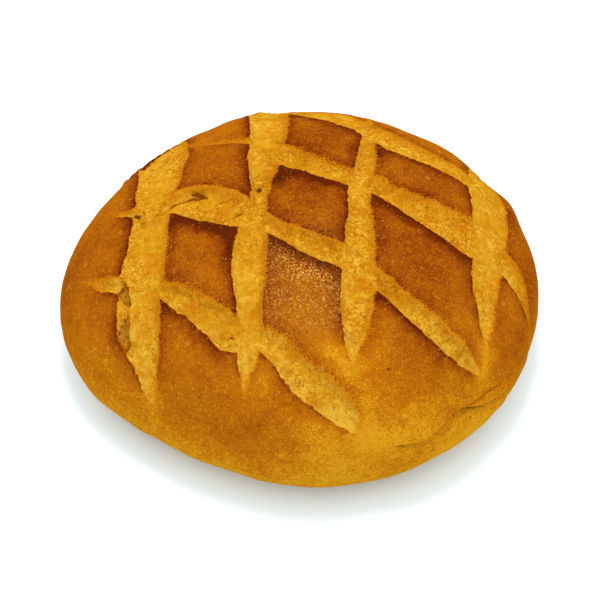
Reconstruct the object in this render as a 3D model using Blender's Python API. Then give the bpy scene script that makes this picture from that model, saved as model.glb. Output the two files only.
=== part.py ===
"""A sourdough loaf: a round country loaf, scored in a lattice and baked in one piece.

Metres, +Z up. The origin is the middle of the flat underside. The shown side faces -Y.
The loaf is one solid. Its domed body, the eight score bands with their sunken floors and
raised lips, the pillows of crust between them, the torn dough and the fold in the side
are all relief in that one solid.
"""
import math

import bmesh
import bpy
import numpy as np
from mathutils import noise

# The loaf as a whole.
MEAN_RADIUS = 0.110
DOME_HEIGHT = 0.092
WIDEST_HEIGHT = 0.027
BASE_SHARE = 0.71
# How full the curve is from the crown to the side, and from the side to the underside: 2 is
# an ellipse, more is fuller.
DOME_FULLNESS = 2.035
TUCK_FULLNESS = 2.2
# The middle of the outline's waves isn't the middle of the loaf's box: this moves it there.
CENTRING = (0.0018, -0.0003)
# Waves round the outline: how many times round, share of the radius, where it peaks (degrees).
OUTLINE_WAVES = (
    (2, 0.0235, 0),
    (3, 0.0143, 70),
    (4, 0.0153, 13),
    (5, 0.0038, 46),
)

# The score bands, cut before baking and opened by the oven. Each station is a place on the
# band's centre line, seen from above, and half the band's width there: (x, y, half_width).
# The long bands run from the back to the front, the slanted ones from left to right.
LONG_BANDS = (
    (
        (-0.068, 0.080, 0.006),
        (-0.068, 0.055, 0.012),
        (-0.068, 0.031, 0.011),
        (-0.070, -0.002, 0.0088),
        (-0.073, -0.035, 0.010),
        (-0.073, -0.058, 0.0093),
        (-0.0695, -0.070, 0.0052),
        (-0.066, -0.084, 0.0003),
    ),
    (
        (-0.0175, 0.088, 0.0105),
        (-0.0171, 0.0735, 0.0098),
        (-0.017, 0.050, 0.009),
        (-0.018, 0.034, 0.0084),
        (-0.020, 0.002, 0.0044),
        (-0.0245, -0.038, 0.0078),
        (-0.0237, -0.057, 0.006),
        (-0.024, -0.076, 0.0052),
        (-0.0265, -0.091, 0.0003),
    ),
    (
        (0.033, 0.086, 0.0015),
        (0.031, 0.054, 0.0030),
        (0.0295, 0.030, 0.0044),
        (0.0255, 0.002, 0.0055),
        (0.025, -0.025, 0.0066),
        (0.024, -0.049, 0.0076),
        (0.022, -0.066, 0.0058),
        (0.0213, -0.085, 0.0003),
    ),
    (
        (0.085, 0.055, 0.004),
        (0.087, 0.026, 0.0092),
        (0.0875, 0.010, 0.0092),
        (0.084, -0.020, 0.0073),
        (0.0813, -0.042, 0.0052),
        (0.0820, -0.0545, 0.0028),
        (0.0824, -0.0635, 0.0003),
    ),
)
SLANTED_BANDS = (
    (
        (-0.018, 0.093, 0.005),
        (0.006, 0.080, 0.0095),
        (0.029, 0.0622, 0.0084),
        (0.044, 0.0488, 0.0101),
        (0.0605, 0.0412, 0.0078),
        (0.0785, 0.0330, 0.0065),
        (0.094, 0.026, 0.004),
    ),
    (
        (-0.055, 0.0535, 0.0004),
        (-0.0474, 0.0515, 0.0015),
        (-0.0377, 0.0497, 0.0026),
        (-0.0305, 0.0478, 0.0027),
        (-0.0250, 0.0450, 0.0038),
        (-0.012, 0.033, 0.0085),
        (0.004, 0.023, 0.0076),
        (0.038, 0.0065, 0.0068),
        (0.058, -0.002, 0.0100),
        (0.078, -0.0105, 0.0120),
        (0.0935, -0.016, 0.0085),
        (0.1005, -0.0235, 0.0058),
        (0.1065, -0.034, 0.0003),
    ),
    (
        (-0.0900, 0.0128, 0.0004),
        (-0.0866, 0.0102, 0.0016),
        (-0.0830, 0.0082, 0.0023),
        (-0.0780, 0.0062, 0.0037),
        (-0.057, 0.006, 0.010),
        (-0.036, -0.004, 0.0112),
        (-0.015, -0.018, 0.0048),
        (0.004, -0.029, 0.0064),
        (0.033, -0.0448, 0.0054),
        (0.0418, -0.0518, 0.0054),
        (0.0537, -0.0595, 0.0058),
        (0.0637, -0.0650, 0.0056),
        (0.0713, -0.0676, 0.0044),
        (0.0762, -0.0688, 0.0028),
        (0.0812, -0.0700, 0.0003),
    ),
    (
        (-0.104, -0.019, 0.0004),
        (-0.088, -0.031, 0.0033),
        (-0.062, -0.043, 0.0043),
        (-0.041, -0.059, 0.0066),
        (-0.029, -0.069, 0.0068),
        (-0.018, -0.0715, 0.0052),
        (-0.003, -0.0835, 0.0070),
        (0.010, -0.0915, 0.0070),
        (0.019, -0.0975, 0.0052),
        (0.028, -0.1030, 0.0003),
    ),
)
# Where the bands open wider at a corner: (x, y) and radius.
OPENINGS = (((0.0345, 0.0135), 0.0050),)
LONG_DEPTH = 0.0024
SLANTED_DEPTH = 0.0030
# A band narrower than this either side of its centre line is shallower too.
FULL_DEPTH_HALF_WIDTH = 0.005
# A band's left or front side is a short wall under a lifted lip, the other a longer slope.
LIP_WALL = 0.0018
LONG_SLOPE = 0.0032
SLANTED_SLOPE = 0.0048
LIP_RISE = 0.0014
LIP_WIDTH = 0.0045
# The crust between the bands is a pillow, lower round its edge than in its middle.
PILLOW_DROP = 0.0014
PILLOW_EDGE = 0.010
# How far down the side, as a height, the bands still bite at full depth, and where they end.
BITE_FULL = 0.038
BITE_NONE = 0.012
# The bands grow shallow down the back: shares of the way from the middle to the outline
# where that starts and ends, and how much of the relief is left.
BACK_FROM = 0.55
BACK_TO = 0.78
BACK_LEFT = 0.15

# Low swellings (plus) and dents (minus) of the side: (x, y, z), radius, height.
SWELLS = (
    ((0.0985, 0.0375, 0.0485), 0.009, 0.0019),
    ((0.0865, 0.0540, 0.0533), 0.006, -0.0007),
    ((0.0680, 0.0685, 0.0588), 0.012, 0.0006),
    ((-0.0225, 0.0876, 0.0638), 0.0055, 0.0012),
    ((-0.0465, 0.0795, 0.0615), 0.010, -0.0014),
    ((-0.0750, 0.0600, 0.0563), 0.010, 0.0006),
    ((-0.0950, -0.0560, 0.0157), 0.010, 0.0010),
    ((-0.0660, -0.0800, 0.0136), 0.010, -0.0009),
    ((-0.0314, -0.0966, 0.0120), 0.010, -0.0008),
    ((0.0080, -0.1036, 0.0115), 0.014, 0.0009),
    ((0.0560, -0.0905, 0.0127), 0.010, -0.0006),
    ((0.0878, -0.0650, 0.0178), 0.008, -0.0010),
)

# Torn dough in the wide slanted band: crevices, (x, y, half_width) along each, every one with
# a low lip in front of it.
TEARS = (
    (
        (-0.0682, -0.0036, 0.0002),
        (-0.0663, 0.0018, 0.0006),
        (-0.0640, 0.0040, 0.0008),
        (-0.0609, 0.0066, 0.0009),
        (-0.0572, 0.0070, 0.0010),
        (-0.0535, 0.0079, 0.0011),
        (-0.0497, 0.0075, 0.0013),
        (-0.0460, 0.0068, 0.0003),
    ),
    (
        (-0.0540, 0.0124, 0.0002),
        (-0.0503, 0.0109, 0.0014),
        (-0.0474, 0.0087, 0.0016),
        (-0.0450, 0.0062, 0.0003),
    ),
    ((-0.0430, 0.0018, 0.0002), (-0.0393, 0.0023, 0.0008), (-0.0333, 0.0032, 0.0002)),
    ((-0.0347, -0.0106, 0.0002), (-0.0311, -0.0085, 0.0008), (-0.0250, -0.0054, 0.0002)),
)
TEAR_DEPTH = 0.0012
TEAR_LIP = 0.0012
TEAR_LIP_WIDTH = 0.0045
# The hollow cracks beside the left long band, where the crust has come away from it.
CRACKS = (
    (
        (-0.0824, -0.0326, 0.0003),
        (-0.0822, -0.0358, 0.0014),
        (-0.0817, -0.0396, 0.0020),
        (-0.0805, -0.0428, 0.0016),
        (-0.0792, -0.0448, 0.0002),
    ),
    (
        (-0.0793, -0.0459, 0.0003),
        (-0.0801, -0.0499, 0.0014),
        (-0.0806, -0.0544, 0.0019),
        (-0.0800, -0.0584, 0.0018),
        (-0.0776, -0.0624, 0.0002),
    ),
)
CRACK_DEPTH = 0.0016
# How gently a crevice's walls fall.
CREVICE_WALL = 0.0014

# Flakes of crust standing on the rim: (x, y, z) and radius.
FLAKES = (
    ((-0.079, 0.050, 0.0595), 0.0030),
    ((-0.074, 0.055, 0.0615), 0.0034),
    ((-0.067, 0.059, 0.0640), 0.0026),
    ((0.0980, 0.0240, 0.0555), 0.0026),
)
FLAKE_HEIGHT = 0.0014

# The folds low in the right of the front, where the dough was tucked under: (degrees round,
# height) along each crease, and how strong the fold is. Over the crease is a lip, under it a
# bulge.
FOLDS = (
    (
        (
            (-70, 0.0385),
            (-66, 0.0366),
            (-61, 0.0355),
            (-57.5, 0.0376),
            (-54, 0.0402),
            (-50, 0.0404),
            (-46, 0.0362),
            (-41.5, 0.0318),
            (-37, 0.0296),
            (-33, 0.0258),
            (-30, 0.0215),
        ),
        1.0,
    ),
    (((-50, 0.0410), (-45.5, 0.0393), (-42, 0.0380), (-39, 0.0372), (-34, 0.0350)), 0.35),
)
FOLD_END = 5.0
FOLD_DEPTH = 0.0019
FOLD_CUT = 0.0016
FOLD_WIDTH = 0.0045
FOLD_BULGE = 0.0012
FOLD_BULGE_WIDTH = 0.022

# Slow unevenness of hand-shaped dough, and the size of its waves.
UNEVEN = 0.0009
UNEVEN_SIZE = 0.034

# Mesh: the ball's subdivisions before shaping, how near a band's edge a point is moved
# onto it, the smoothing passes over the relief, and the finished triangle count.
BALL_LEVEL = 7
EDGE_REACH = 0.0008
SETTLE_PASSES = 3
TRIANGLES = 11400

CRUST_COLOUR = (0.56, 0.24, 0.045, 1.0)


def clear_scene():
    for item in list(bpy.data.objects):
        bpy.data.objects.remove(item, do_unlink=True)


def eased(low, high, value):
    """0 at or under low, 1 at or over high, smooth between."""
    share = np.clip((value - low) / (high - low), 0.0, 1.0)
    return share * share * (3.0 - 2.0 * share)


def outline_radius(angle):
    """The loaf's half-width towards an angle, at its widest height."""
    waves = sum(
        share * np.cos(count * (angle - math.radians(peak)))
        for count, share, peak in OUTLINE_WAVES
    )
    return MEAN_RADIUS * (1.0 + waves)


def body_points(directions):
    """Wrap a unit ball round the loaf's body: domed top, tucked side and flat underside."""
    side = BASE_SHARE * MEAN_RADIUS
    tuck = MEAN_RADIUS - side
    dome_arc = math.pi / 2 * math.sqrt((MEAN_RADIUS**2 + (DOME_HEIGHT - WIDEST_HEIGHT) ** 2) / 2)
    tuck_arc = math.pi / 2 * math.sqrt((tuck**2 + WIDEST_HEIGHT**2) / 2)
    travel = np.arccos(np.clip(directions[:, 2], -1, 1)) / math.pi * (dome_arc + tuck_arc + side)
    angle = np.arctan2(directions[:, 1], directions[:, 0])

    dome_turn = np.clip(travel / dome_arc, 0, 1) * math.pi / 2
    tuck_turn = np.clip((travel - dome_arc) / tuck_arc, 0, 1) * math.pi / 2
    base_share = np.clip((travel - dome_arc - tuck_arc) / side, 0, 1)

    full = 2.0 / DOME_FULLNESS
    full_tuck = 2.0 / TUCK_FULLNESS
    reach = np.sin(dome_turn) ** full
    reach -= (1.0 - BASE_SHARE) * (1.0 - np.abs(np.cos(tuck_turn)) ** full_tuck)
    reach *= 1.0 - base_share
    height = WIDEST_HEIGHT + (DOME_HEIGHT - WIDEST_HEIGHT) * np.abs(np.cos(dome_turn)) ** full
    height -= WIDEST_HEIGHT * np.sin(tuck_turn) ** full_tuck
    height[base_share > 0] = 0.0
    radius = outline_radius(angle) * reach
    return np.column_stack([radius * np.cos(angle), radius * np.sin(angle), height])


def through(stations, along):
    """A smooth curve through stations: column 0 is the place along, the rest its values."""
    at, values = stations[:, 0], stations[:, 1:]
    slopes = np.gradient(values, at, axis=0)
    first = np.clip(np.searchsorted(at, along) - 1, 0, len(at) - 2)
    span = (at[first + 1] - at[first])[:, None]
    t = np.clip((along - at[first]) / span[:, 0], 0, 1)[:, None]
    bend = (values[first + 1] - values[first]) * (t * t * (3 - 2 * t))
    lean = span * t * (1 - t) * (slopes[first] * (1 - t) - slopes[first + 1] * t)
    return values[first] + bend + lean


def band_sides(plan, band):
    """For points seen from above: the signed place across a band (minus at its lip side),
    the gap to its edge (minus inside it), its half-width there and its across direction."""
    stations = np.array(band)
    start = stations[0, :2]
    run = stations[-1, :2] - start
    run /= np.linalg.norm(run)
    across = np.array([-run[1], run[0]])
    local = np.column_stack([
        (stations[:, :2] - start) @ run,
        (stations[:, :2] - start) @ across,
        stations[:, 2],
    ])
    along = (plan - start) @ run
    centre, half = through(local, along).T
    beyond = np.maximum(-along, 0) + np.maximum(along - local[-1, 0], 0)
    place = (plan - start) @ across - centre
    return place, np.hypot(np.abs(place), beyond) - half, half, across


def band_relief(plan):
    """Height over the smooth dome that the score bands, lips and pillows give."""
    sunk = np.zeros(len(plan))
    lip = np.zeros(len(plan))
    nearest = np.full(len(plan), 1.0)
    groups = (
        (LONG_BANDS, LONG_DEPTH, LONG_SLOPE, 0.5),
        (SLANTED_BANDS, SLANTED_DEPTH, SLANTED_SLOPE, 1.0),
    )
    for bands, depth, slope, lift in groups:
        for band in bands:
            place, gap, half, _ = band_sides(plan, band)
            lip_side = eased(0.0008, -0.0012, place)
            wall = slope + (LIP_WALL - slope) * lip_side
            wide = eased(0, FULL_DEPTH_HALF_WIDTH, half)
            inside = eased(0, 1, -gap / wall)
            sunk = np.maximum(sunk, depth * wide * inside)
            near = np.exp(-np.maximum(gap, 0) / LIP_WIDTH) * (1 - inside)
            lip = np.maximum(lip, lift * wide * near * lip_side)
            nearest = np.minimum(nearest, gap)
    for corner, radius in OPENINGS:
        gap = np.linalg.norm(plan - np.array(corner), axis=1) - radius
        sunk = np.maximum(sunk, 0.6 * LONG_DEPTH * eased(0, 1, -gap / LONG_SLOPE))
        nearest = np.minimum(nearest, gap)
    edge = eased(PILLOW_EDGE, 0, nearest)
    return LIP_RISE * lip - PILLOW_DROP * edge - sunk


def bite_share(points):
    """How much of the bands' relief there is: less low on the sides and down the back."""
    plan = points[:, :2]
    far = np.linalg.norm(plan, axis=1)
    out = far / outline_radius(np.arctan2(plan[:, 1], plan[:, 0]))
    behind = eased(-0.3, 0.3, plan[:, 1] / np.maximum(far, 1e-6))
    back = (1 - BACK_LEFT) * eased(BACK_FROM, BACK_TO, out) * behind
    return eased(BITE_NONE, BITE_FULL, points[:, 2]) * (1 - back)


def grooved(plan, lines):
    """How deep in one of the crevices each point is, and how near to the lip in front of one:
    both 0 to 1."""
    deep = np.zeros(len(plan))
    lips = np.zeros(len(plan))
    for line in lines:
        place, gap, half, _ = band_sides(plan, line)
        here = eased(CREVICE_WALL, -CREVICE_WALL, gap) * eased(0, 0.0008, half)
        near = np.exp(-np.maximum(gap, 0) / TEAR_LIP_WIDTH) * eased(0, 0.0006, half)
        deep = np.maximum(deep, here)
        lips = np.maximum(lips, near * eased(0.0004, -0.0004, place) * (1 - here))
    return deep, lips


def fold_relief(points):
    """The tucked folds: each a crease round the side with a lip over it and a bulge under it."""
    angle = np.degrees(np.arctan2(points[:, 1], points[:, 0]))
    relief = np.zeros(len(points))
    for stations, strength in FOLDS:
        stations = np.array(stations)
        over = points[:, 2] - through(stations, angle)[:, 0]
        fade = eased(0, FOLD_END, angle - stations[0, 0])
        fade *= eased(0, FOLD_END, stations[-1, 0] - angle) * strength
        below = eased(0.0002, -FOLD_CUT, over) * eased(-FOLD_WIDTH - 0.004, -FOLD_CUT, over)
        above = 0.35 * eased(-0.0002, 0.0006, over) * eased(0.009, 0.0006, over)
        bulge = FOLD_BULGE * eased(0, -0.004, over) * eased(-FOLD_BULGE_WIDTH, -0.008, over)
        relief += fade * (bulge + FOLD_DEPTH * (above - below))
    return relief


def swelling(points):
    """The side's low swellings and dents."""
    total = np.zeros(len(points))
    for place, size, height in SWELLS:
        far = np.linalg.norm(points - np.array(place), axis=1)
        total += height * np.exp(-((far / size) ** 2))
    return total


def flaking(points):
    """1 in the middle of each flake, 0 off them."""
    total = np.zeros(len(points))
    for place, radius in FLAKES:
        far = np.linalg.norm(points - np.array(place), axis=1)
        total = np.maximum(total, eased(2 * radius, 0.5 * radius, far))
    return total


def unevenness(points):
    """Slow, seeded waves of the dough's surface."""
    return np.array([UNEVEN * noise.noise((p[0] / UNEVEN_SIZE, p[1] / UNEVEN_SIZE,
                                           p[2] / UNEVEN_SIZE + 7.3)) for p in points])


def on_band_edges(points):
    """Slide points that are close to a band's edge onto it, so that the edge stays crisp."""
    moved = points.copy()
    for band in LONG_BANDS + SLANTED_BANDS:
        place, gap, _, across = band_sides(moved[:, :2], band)
        side = np.where(place < 0, -1.0, 1.0)
        slide = np.where(np.abs(gap) < EDGE_REACH, -gap * side, 0.0)
        moved[:, :2] += slide[:, None] * across
    return moved


def shaped(points, normals):
    """Push the smooth body's points in or out to carve the relief."""
    high = points[:, 2] > BITE_NONE
    points[high] = on_band_edges(points[high])
    height = points[:, 2]
    plan = points[:, :2]
    torn, torn_lip = grooved(plan, TEARS)
    cracked, _ = grooved(plan, CRACKS)
    relief = bite_share(points) * (band_relief(plan) + TEAR_LIP * torn_lip - TEAR_DEPTH * torn)
    relief += fold_relief(points) + FLAKE_HEIGHT * flaking(points) - CRACK_DEPTH * cracked
    relief += (unevenness(points) + swelling(points)) * eased(0.0, 0.012, height)
    moved = points + normals * relief[:, None]
    moved[:, 2] = np.maximum(moved[:, 2], 0.0)
    moved[:, :2] += CENTRING
    return moved


def crust_material():
    crust = bpy.data.materials.new("baked_crust")
    crust.use_nodes = True
    shader = crust.node_tree.nodes["Principled BSDF"]
    shader.inputs["Base Color"].default_value = CRUST_COLOUR
    shader.inputs["Roughness"].default_value = 0.5
    shader.inputs["Metallic"].default_value = 0.0
    return crust


def bake_loaf():
    mesh = bpy.data.meshes.new("loaf")
    ball = bmesh.new()
    bmesh.ops.create_icosphere(ball, subdivisions=BALL_LEVEL, radius=1.0)
    ball.to_mesh(mesh)
    ball.free()

    count = len(mesh.vertices)
    flat = np.empty(count * 3)
    mesh.vertices.foreach_get("co", flat)
    directions = flat.reshape(-1, 3)
    directions /= np.linalg.norm(directions, axis=1)[:, None]
    body = body_points(directions)
    mesh.vertices.foreach_set("co", body.ravel())
    mesh.update()
    mesh.vertex_normals.foreach_get("vector", flat)
    normals = flat.reshape(-1, 3).copy()
    mesh.vertices.foreach_set("co", shaped(body, normals).ravel())
    mesh.update()

    loaf = bpy.data.objects.new("loaf", mesh)
    bpy.context.scene.collection.objects.link(loaf)
    loaf.data.materials.append(crust_material())
    settle = loaf.modifiers.new("settled_dough", "SMOOTH")
    settle.factor = 0.5
    settle.iterations = SETTLE_PASSES
    thin = loaf.modifiers.new("fewer_faces", "DECIMATE")
    thin.ratio = TRIANGLES / len(mesh.polygons)
    mesh.polygons.foreach_set("use_smooth", [True] * len(mesh.polygons))
    return loaf


def main():
    clear_scene()
    bake_loaf()


main()
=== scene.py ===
"""The looks of a scored sourdough loaf: its baked skin, its opened score bands and its burnt lips.

The loaf is shaped again here from the same sizes as its solid, on a much finer mesh, with the
ragged edges, crumb and blisters that the solid leaves out. Metres, +Z up.
"""
import math
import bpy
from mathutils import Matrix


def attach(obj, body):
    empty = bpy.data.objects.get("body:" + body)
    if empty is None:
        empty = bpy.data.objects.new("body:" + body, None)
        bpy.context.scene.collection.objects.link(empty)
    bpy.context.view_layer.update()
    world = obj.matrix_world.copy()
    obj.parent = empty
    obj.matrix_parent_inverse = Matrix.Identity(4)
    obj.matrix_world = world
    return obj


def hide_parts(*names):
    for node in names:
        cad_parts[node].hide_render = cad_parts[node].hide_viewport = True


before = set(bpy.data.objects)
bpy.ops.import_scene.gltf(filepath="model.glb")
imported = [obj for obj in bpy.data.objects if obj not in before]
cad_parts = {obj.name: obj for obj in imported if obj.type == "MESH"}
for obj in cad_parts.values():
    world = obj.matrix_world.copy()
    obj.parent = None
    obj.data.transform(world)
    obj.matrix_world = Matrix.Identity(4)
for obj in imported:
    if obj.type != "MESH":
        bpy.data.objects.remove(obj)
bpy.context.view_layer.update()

from types import SimpleNamespace

import bmesh
import bpy
import numpy as np
from mathutils import Vector, noise

# The loaf's form, as in its solid.
MEAN_RADIUS = 0.110
DOME_HEIGHT = 0.092
WIDEST_HEIGHT = 0.027
BASE_SHARE = 0.71
# How full the two curves are: 2 is an ellipse, more is fuller.
DOME_FULLNESS = 2.035
TUCK_FULLNESS = 2.2
CENTRING = (0.0018, -0.0003)
# Waves round the outline: how many times round, share of the radius, where it peaks (degrees).
OUTLINE_WAVES = (
    (2, 0.0235, 0),
    (3, 0.0143, 70),
    (4, 0.0153, 13),
    (5, 0.0038, 46),
)

# Score bands: places on the centre line, seen from above, and half the width there.
LONG_BANDS = (
    (
        (-0.068, 0.080, 0.006),
        (-0.068, 0.055, 0.012),
        (-0.068, 0.031, 0.011),
        (-0.070, -0.002, 0.0088),
        (-0.073, -0.035, 0.010),
        (-0.073, -0.058, 0.0093),
        (-0.0695, -0.070, 0.0052),
        (-0.066, -0.084, 0.0003),
    ),
    (
        (-0.0175, 0.088, 0.0105),
        (-0.0171, 0.0735, 0.0098),
        (-0.017, 0.050, 0.009),
        (-0.018, 0.034, 0.0084),
        (-0.020, 0.002, 0.0044),
        (-0.0245, -0.038, 0.0078),
        (-0.0237, -0.057, 0.006),
        (-0.024, -0.076, 0.0052),
        (-0.0265, -0.091, 0.0003),
    ),
    (
        (0.033, 0.086, 0.0015),
        (0.031, 0.054, 0.0030),
        (0.0295, 0.030, 0.0044),
        (0.0255, 0.002, 0.0055),
        (0.025, -0.025, 0.0066),
        (0.024, -0.049, 0.0076),
        (0.022, -0.066, 0.0058),
        (0.0213, -0.085, 0.0003),
    ),
    (
        (0.085, 0.055, 0.004),
        (0.087, 0.026, 0.0092),
        (0.0875, 0.010, 0.0092),
        (0.084, -0.020, 0.0073),
        (0.0813, -0.042, 0.0052),
        (0.0820, -0.0545, 0.0028),
        (0.0824, -0.0635, 0.0003),
    ),
)
SLANTED_BANDS = (
    (
        (-0.018, 0.093, 0.005),
        (0.006, 0.080, 0.0095),
        (0.029, 0.0622, 0.0084),
        (0.044, 0.0488, 0.0101),
        (0.0605, 0.0412, 0.0078),
        (0.0785, 0.0330, 0.0065),
        (0.094, 0.026, 0.004),
    ),
    (
        (-0.055, 0.0535, 0.0004),
        (-0.0474, 0.0515, 0.0015),
        (-0.0377, 0.0497, 0.0026),
        (-0.0305, 0.0478, 0.0027),
        (-0.0250, 0.0450, 0.0038),
        (-0.012, 0.033, 0.0085),
        (0.004, 0.023, 0.0076),
        (0.038, 0.0065, 0.0068),
        (0.058, -0.002, 0.0100),
        (0.078, -0.0105, 0.0120),
        (0.0935, -0.016, 0.0085),
        (0.1005, -0.0235, 0.0058),
        (0.1065, -0.034, 0.0003),
    ),
    (
        (-0.0900, 0.0128, 0.0004),
        (-0.0866, 0.0102, 0.0016),
        (-0.0830, 0.0082, 0.0023),
        (-0.0780, 0.0062, 0.0037),
        (-0.057, 0.006, 0.010),
        (-0.036, -0.004, 0.0112),
        (-0.015, -0.018, 0.0048),
        (0.004, -0.029, 0.0064),
        (0.033, -0.0448, 0.0054),
        (0.0418, -0.0518, 0.0054),
        (0.0537, -0.0595, 0.0058),
        (0.0637, -0.0650, 0.0056),
        (0.0713, -0.0676, 0.0044),
        (0.0762, -0.0688, 0.0028),
        (0.0812, -0.0700, 0.0003),
    ),
    (
        (-0.104, -0.019, 0.0004),
        (-0.088, -0.031, 0.0033),
        (-0.062, -0.043, 0.0043),
        (-0.041, -0.059, 0.0066),
        (-0.029, -0.069, 0.0068),
        (-0.018, -0.0715, 0.0052),
        (-0.0035, -0.0840, 0.0065),
        (0.0095, -0.0922, 0.0060),
        (0.019, -0.0980, 0.0046),
        (0.028, -0.1030, 0.0003),
    ),
)
# How deep the bands' floors are, and the half-width from which they are that deep.
LONG_DEPTH = 0.0024
SLANTED_DEPTH = 0.0030
FULL_DEPTH_HALF_WIDTH = 0.005
# How wide the wall is under the lip, and the slope on the other side.
LIP_WALL = 0.0018
LONG_SLOPE = 0.0032
SLANTED_SLOPE = 0.0048
# The share of the lip's rise that each group of bands has.
LONG_LIFT = 0.5
SLANTED_LIFT = 1.0
LIP_RISE = 0.0014
LIP_WIDTH = 0.0045
# Places across a band where its lip side starts and where it is whole.
LIP_SIDE_FROM = 0.0008
LIP_SIDE_WHOLE = -0.0012
# The least half-width that a place across a band is measured in.
LEAN_MIN = 0.001
# Where the bands open wider at a corner: (x, y) and radius.
OPENINGS = (((0.0345, 0.0135), 0.0050),)
OPENING_DEPTH = 0.6 * LONG_DEPTH
OPENING_SOFTNESS = 0.7
# The crust between bands is lower by this at its edges, over this far.
PILLOW_DROP = 0.0014
PILLOW_EDGE = 0.010
# Heights on the side where the bands' relief is whole and where it is none.
BITE_FULL = 0.038
BITE_NONE = 0.012
# The bands grow shallow down the back: shares of the way from the middle to the outline
# where that starts and ends, and how much of the relief is left.
BACK_FROM = 0.55
BACK_TO = 0.78
BACK_LEFT = 0.15
# Front turns to back from minus to plus this, in y as a share of the distance out.
BACK_TURN = 0.3

# Low swellings (plus) and dents (minus) of the side: (x, y, z), radius, height.
SWELLS = (
    ((0.0985, 0.0375, 0.0485), 0.009, 0.0019),
    ((0.0865, 0.0540, 0.0533), 0.006, -0.0007),
    ((0.0680, 0.0685, 0.0588), 0.012, 0.0006),
    ((-0.0225, 0.0876, 0.0638), 0.0055, 0.0012),
    ((-0.0465, 0.0795, 0.0615), 0.010, -0.0014),
    ((-0.0750, 0.0600, 0.0563), 0.010, 0.0006),
    ((-0.0950, -0.0560, 0.0157), 0.010, 0.0010),
    ((-0.0660, -0.0800, 0.0136), 0.010, -0.0009),
    ((-0.0314, -0.0966, 0.0120), 0.010, -0.0008),
    ((0.0080, -0.1036, 0.0115), 0.014, 0.0009),
    ((0.0560, -0.0905, 0.0127), 0.010, -0.0006),
    ((0.0878, -0.0650, 0.0178), 0.008, -0.0010),
)
# The height over which they, and the unevenness, fade in.
SWELL_FADE = 0.012

# Torn dough between the bands: crevices with painted shade in them, (x, y, half-width) along each,
# with a lip in front.
TEARS = (
    (
        (-0.0682, -0.0036, 0.0002),
        (-0.0663, 0.0018, 0.0006),
        (-0.0640, 0.0040, 0.0008),
        (-0.0609, 0.0066, 0.0009),
        (-0.0572, 0.0070, 0.0010),
        (-0.0535, 0.0079, 0.0011),
        (-0.0497, 0.0075, 0.0013),
        (-0.0460, 0.0068, 0.0003),
    ),
    (
        (-0.0540, 0.0124, 0.0002),
        (-0.0503, 0.0109, 0.0014),
        (-0.0474, 0.0087, 0.0016),
        (-0.0450, 0.0062, 0.0003),
    ),
    ((-0.0430, 0.0018, 0.0002), (-0.0393, 0.0023, 0.0008), (-0.0333, 0.0032, 0.0002)),
    ((-0.0347, -0.0106, 0.0002), (-0.0311, -0.0085, 0.0008), (-0.0250, -0.0054, 0.0002)),
)
TEAR_DEPTH = 0.0012
TEAR_LIP = 0.0012
TEAR_LIP_WIDTH = 0.0045
# A crevice's wall goes this far to each side of its edge. It is wholly deep from the first
# half-width and has its lip from the second. The lip starts this far behind its centre line.
CREVICE_WALL = 0.0006
CREVICE_FULL = 0.0008
CREVICE_WIDE = 0.0006
CREVICE_FRONT = 0.0004

# Tucked folds low in the front right: (degrees round, height) along each crease, and how
# strong the fold is. Each has a lip over it and a bulge under it.
FOLDS = (
    (
        (
            (-70, 0.0385),
            (-66, 0.0366),
            (-61, 0.0355),
            (-57.5, 0.0376),
            (-54, 0.0402),
            (-50, 0.0404),
            (-46, 0.0362),
            (-41.5, 0.0318),
            (-37, 0.0296),
            (-33, 0.0258),
            (-30, 0.0215),
        ),
        1.0,
    ),
    (((-50, 0.0410), (-45.5, 0.0393), (-42, 0.0380), (-39, 0.0372), (-34, 0.0350)), 0.35),
)
# Degrees over which a fold's relief and the painted shade of its crease fade in from its ends.
FOLD_END = 5.0
CREASE_END = 4.0
# How far the crease lies under the fold's line, and how much paler a weak fold's painted shade is.
CREASE_UNDER = 0.0005
CREASE_WEAKER = 0.7
# A fold sinks under its line: how deep, where it is deepest, how far down it goes, and how far
# its edges fade.
FOLD_DEPTH = 0.0019
FOLD_CUT = 0.0008
FOLD_WIDTH = 0.0045
FOLD_EDGE = 0.0002
FOLD_FADE = 0.004
# Its lip over the line: share of the depth, where it is highest, how far up it goes.
FOLD_LIP = 0.35
FOLD_LIP_TOP = 0.0006
FOLD_LIP_WIDTH = 0.009
# Its bulge: height, how far down it is whole, and where it ends.
FOLD_BULGE = 0.0012
FOLD_BULGE_FULL = 0.008
FOLD_BULGE_WIDTH = 0.022
# The fine groove along a fold's crease.
GROOVE_DEPTH = 0.0007
GROOVE_UNDER = 0.0003
GROOVE_WIDTH = 0.0005

# The dough's slow waves: height, size, and a shift that picks which ones.
UNEVEN = 0.0009
UNEVEN_SIZE = 0.034
UNEVEN_SHIFT = 7.3

# The fine mesh. Of what follows the solid has only the cracks and the largest flakes.
BALL_LEVEL = 7
# The ball is split once more where its height is over this share: the scored top. Round the
# folds, and some degrees past them, that starts lower.
FINE_FROM = 0.14
FINE_FROM_AT_FOLDS = -0.16
FINE_PAST_FOLDS = 3
# Ragged band edges: how far they stray, and the length of the strays.
RAGGED = ((0.0008, 0.0130), (0.0006, 0.0055), (0.0004, 0.0024))
# The crumb fades out where a band's half-width goes from the first to the second.
TIP_FULL = 0.0042
TIP_NONE = 0.0006
# How wide the burnt lips are.
LONG_BURN_WIDTH = 0.0032
SLANTED_BURN_WIDTH = 0.0072
# How burnt each band's lip is.
LONG_BURNS = (0.45, 0.68, 0.42, 0.28)
SLANTED_BURNS = (0.42, 0.82, 0.88, 0.42)
# How softly each band's far side fades into the crust.
LONG_SOFTNESS = (0.45,) * 4
SLANTED_SOFTNESS = (1.0, 0.90, 0.42, 0.75)
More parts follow.
